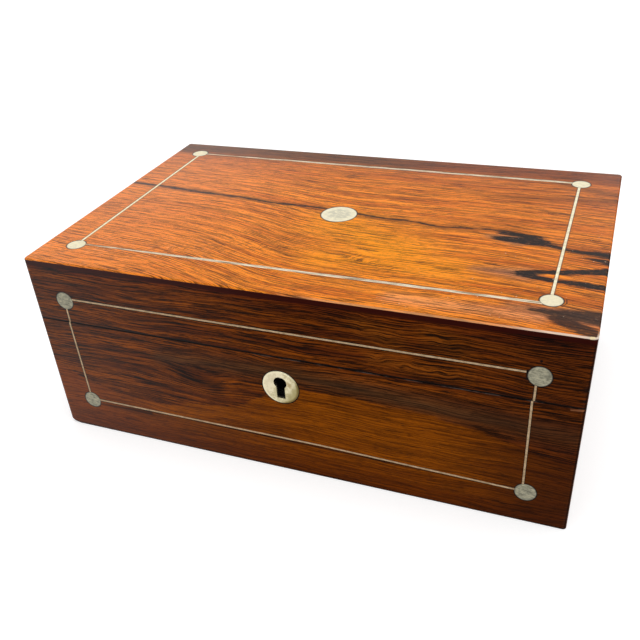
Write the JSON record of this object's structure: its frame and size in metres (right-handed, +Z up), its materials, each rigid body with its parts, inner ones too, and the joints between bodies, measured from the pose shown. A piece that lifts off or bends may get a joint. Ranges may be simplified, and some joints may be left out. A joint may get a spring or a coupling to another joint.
{
  "type": "writing slope",
  "caption": "Veneered wooden box that opens along a slanting joint into a sloping writing surface, with hinged flaps, a pen tray, inkwells and a lock.",
  "frame": {"origin": "centre of the underside, on the surface that the box stands on", "axes": "+X along the box to the right as the keyhole faces the viewer, -Y towards the keyhole face, +Z up"},
  "size_m": [0.3, 0.1926, 0.115],
  "materials": {
    "rosewood": "french polished rosewood veneer",
    "carcass_pine": "planed, oiled softwood",
    "mahogany": "waxed mahogany",
    "stringing": "polished boxwood line",
    "pearl_shell": "worn mother-of-pearl",
    "brass": "dull lacquered brass",
    "steel": "dull filed steel",
    "writing_leather": "aged skiver leather",
    "baize": "wool baize",
    "silk_ribbon": "silk ribbon",
    "bottle_glass": "thick clear glass"
  },
  "bodies": {
    "base": {"underside_baize": "baize", "bottom_board": "carcass_pine", "base_front_board": "carcass_pine", "base_back_board": "carcass_pine", "base_left_board": "carcass_pine", "base_right_board": "carcass_pine", "base_front_veneer": "rosewood", "base_back_veneer": "rosewood", "base_left_veneer": "rosewood", "base_right_veneer": "rosewood", "base_rim_facings": "rosewood", "lower_front_stringing": "stringing", "lower_front_roundels": "pearl_shell", "escutcheon": "pearl_shell", "lock_case": "steel", "lock_selvedge": "brass", "base_screws": "steel", "base_hinge_leaves": "brass", "hinge_pins": "steel", "long_partition": "mahogany", "inkwell_dividers": "mahogany", "pen_tray": "mahogany", "base_ledges": "mahogany", "base_hinge_rail": "mahogany", "base_rail_leather": "writing_leather", "left_inkwell": "bottle_glass", "right_inkwell": "bottle_glass", "inkwell_collars": "brass"},
    "lid": {"lid_top_board": "carcass_pine", "lid_front_board": "carcass_pine", "lid_back_board": "carcass_pine", "lid_left_board": "carcass_pine", "lid_right_board": "carcass_pine", "lid_top_veneer": "rosewood", "lid_front_veneer": "rosewood", "lid_back_veneer": "rosewood", "lid_left_veneer": "rosewood", "lid_right_veneer": "rosewood", "lid_rim_facings": "rosewood", "top_stringing": "stringing", "top_roundels": "pearl_shell", "top_centre_disc": "pearl_shell", "upper_front_stringing": "stringing", "upper_front_roundels": "pearl_shell", "link_plate": "brass", "lid_screws": "steel", "lid_hinge_leaves": "brass", "lid_ledges": "mahogany", "lid_hinge_rail": "mahogany", "lid_rail_leather": "writing_leather"},
    "base_flap": {"base_flap_board": "mahogany", "base_flap_leather": "writing_leather", "base_flap_ribbon": "silk_ribbon"},
    "lid_flap": {"lid_flap_board": "mahogany", "lid_flap_leather": "writing_leather"},
    "flap_bolt": {"flap_bolt": "brass"},
    "lock_bolt": {"lock_bolt": "steel"},
    "left_inkwell_cap": {"left_inkwell_cap": "brass"},
    "right_inkwell_cap": {"right_inkwell_cap": "brass"}
  },
  "joints": [
    {"name": "lid_hinge", "type": "hinge", "parent": "base", "child": "lid", "pos_m": [0, 0.0954, 0.0575], "axis": [-1, 0, 0], "range_deg": [0, 180]},
    {"name": "base_flap_hinge", "type": "hinge", "parent": "base", "child": "base_flap", "pos_m": [0, 0.07675, 0.0582], "axis": [-1, 0, 0], "range_deg": [0, 72]},
    {"name": "lid_flap_hinge", "type": "hinge", "parent": "lid", "child": "lid_flap", "pos_m": [0, 0.07675, 0.06062], "axis": [1, 0, 0], "range_deg": [0, 72]},
    {"name": "flap_bolt_slide", "type": "slide", "parent": "lid_flap", "child": "flap_bolt", "axis": [0, -0.9948, 0.1019], "range_m": [0, 0.003]},
    {"name": "lock_bolt_slide", "type": "slide", "parent": "base", "child": "lock_bolt", "axis": [1, 0, 0], "range_m": [0, 0.003]},
    {"name": "left_inkwell_cap_hinge", "type": "hinge", "parent": "base", "child": "left_inkwell_cap", "pos_m": [-0.123, -0.0822, 0.056], "axis": [1, 0, 0], "range_deg": [0, 90]},
    {"name": "right_inkwell_cap_hinge", "type": "hinge", "parent": "base", "child": "right_inkwell_cap", "pos_m": [0.123, -0.0822, 0.056], "axis": [1, 0, 0], "range_deg": [0, 90]}
  ],
  "couplings": [
    {"joint": "base_flap_hinge", "follows": "lid_hinge", "ratio": 0.4},
    {"joint": "lid_flap_hinge", "follows": "lid_hinge", "ratio": 0.4},
    {"joint": "left_inkwell_cap_hinge", "follows": "lid_hinge", "ratio": 0.5},
    {"joint": "right_inkwell_cap_hinge", "follows": "lid_hinge", "ratio": 0.5}
  ]
}
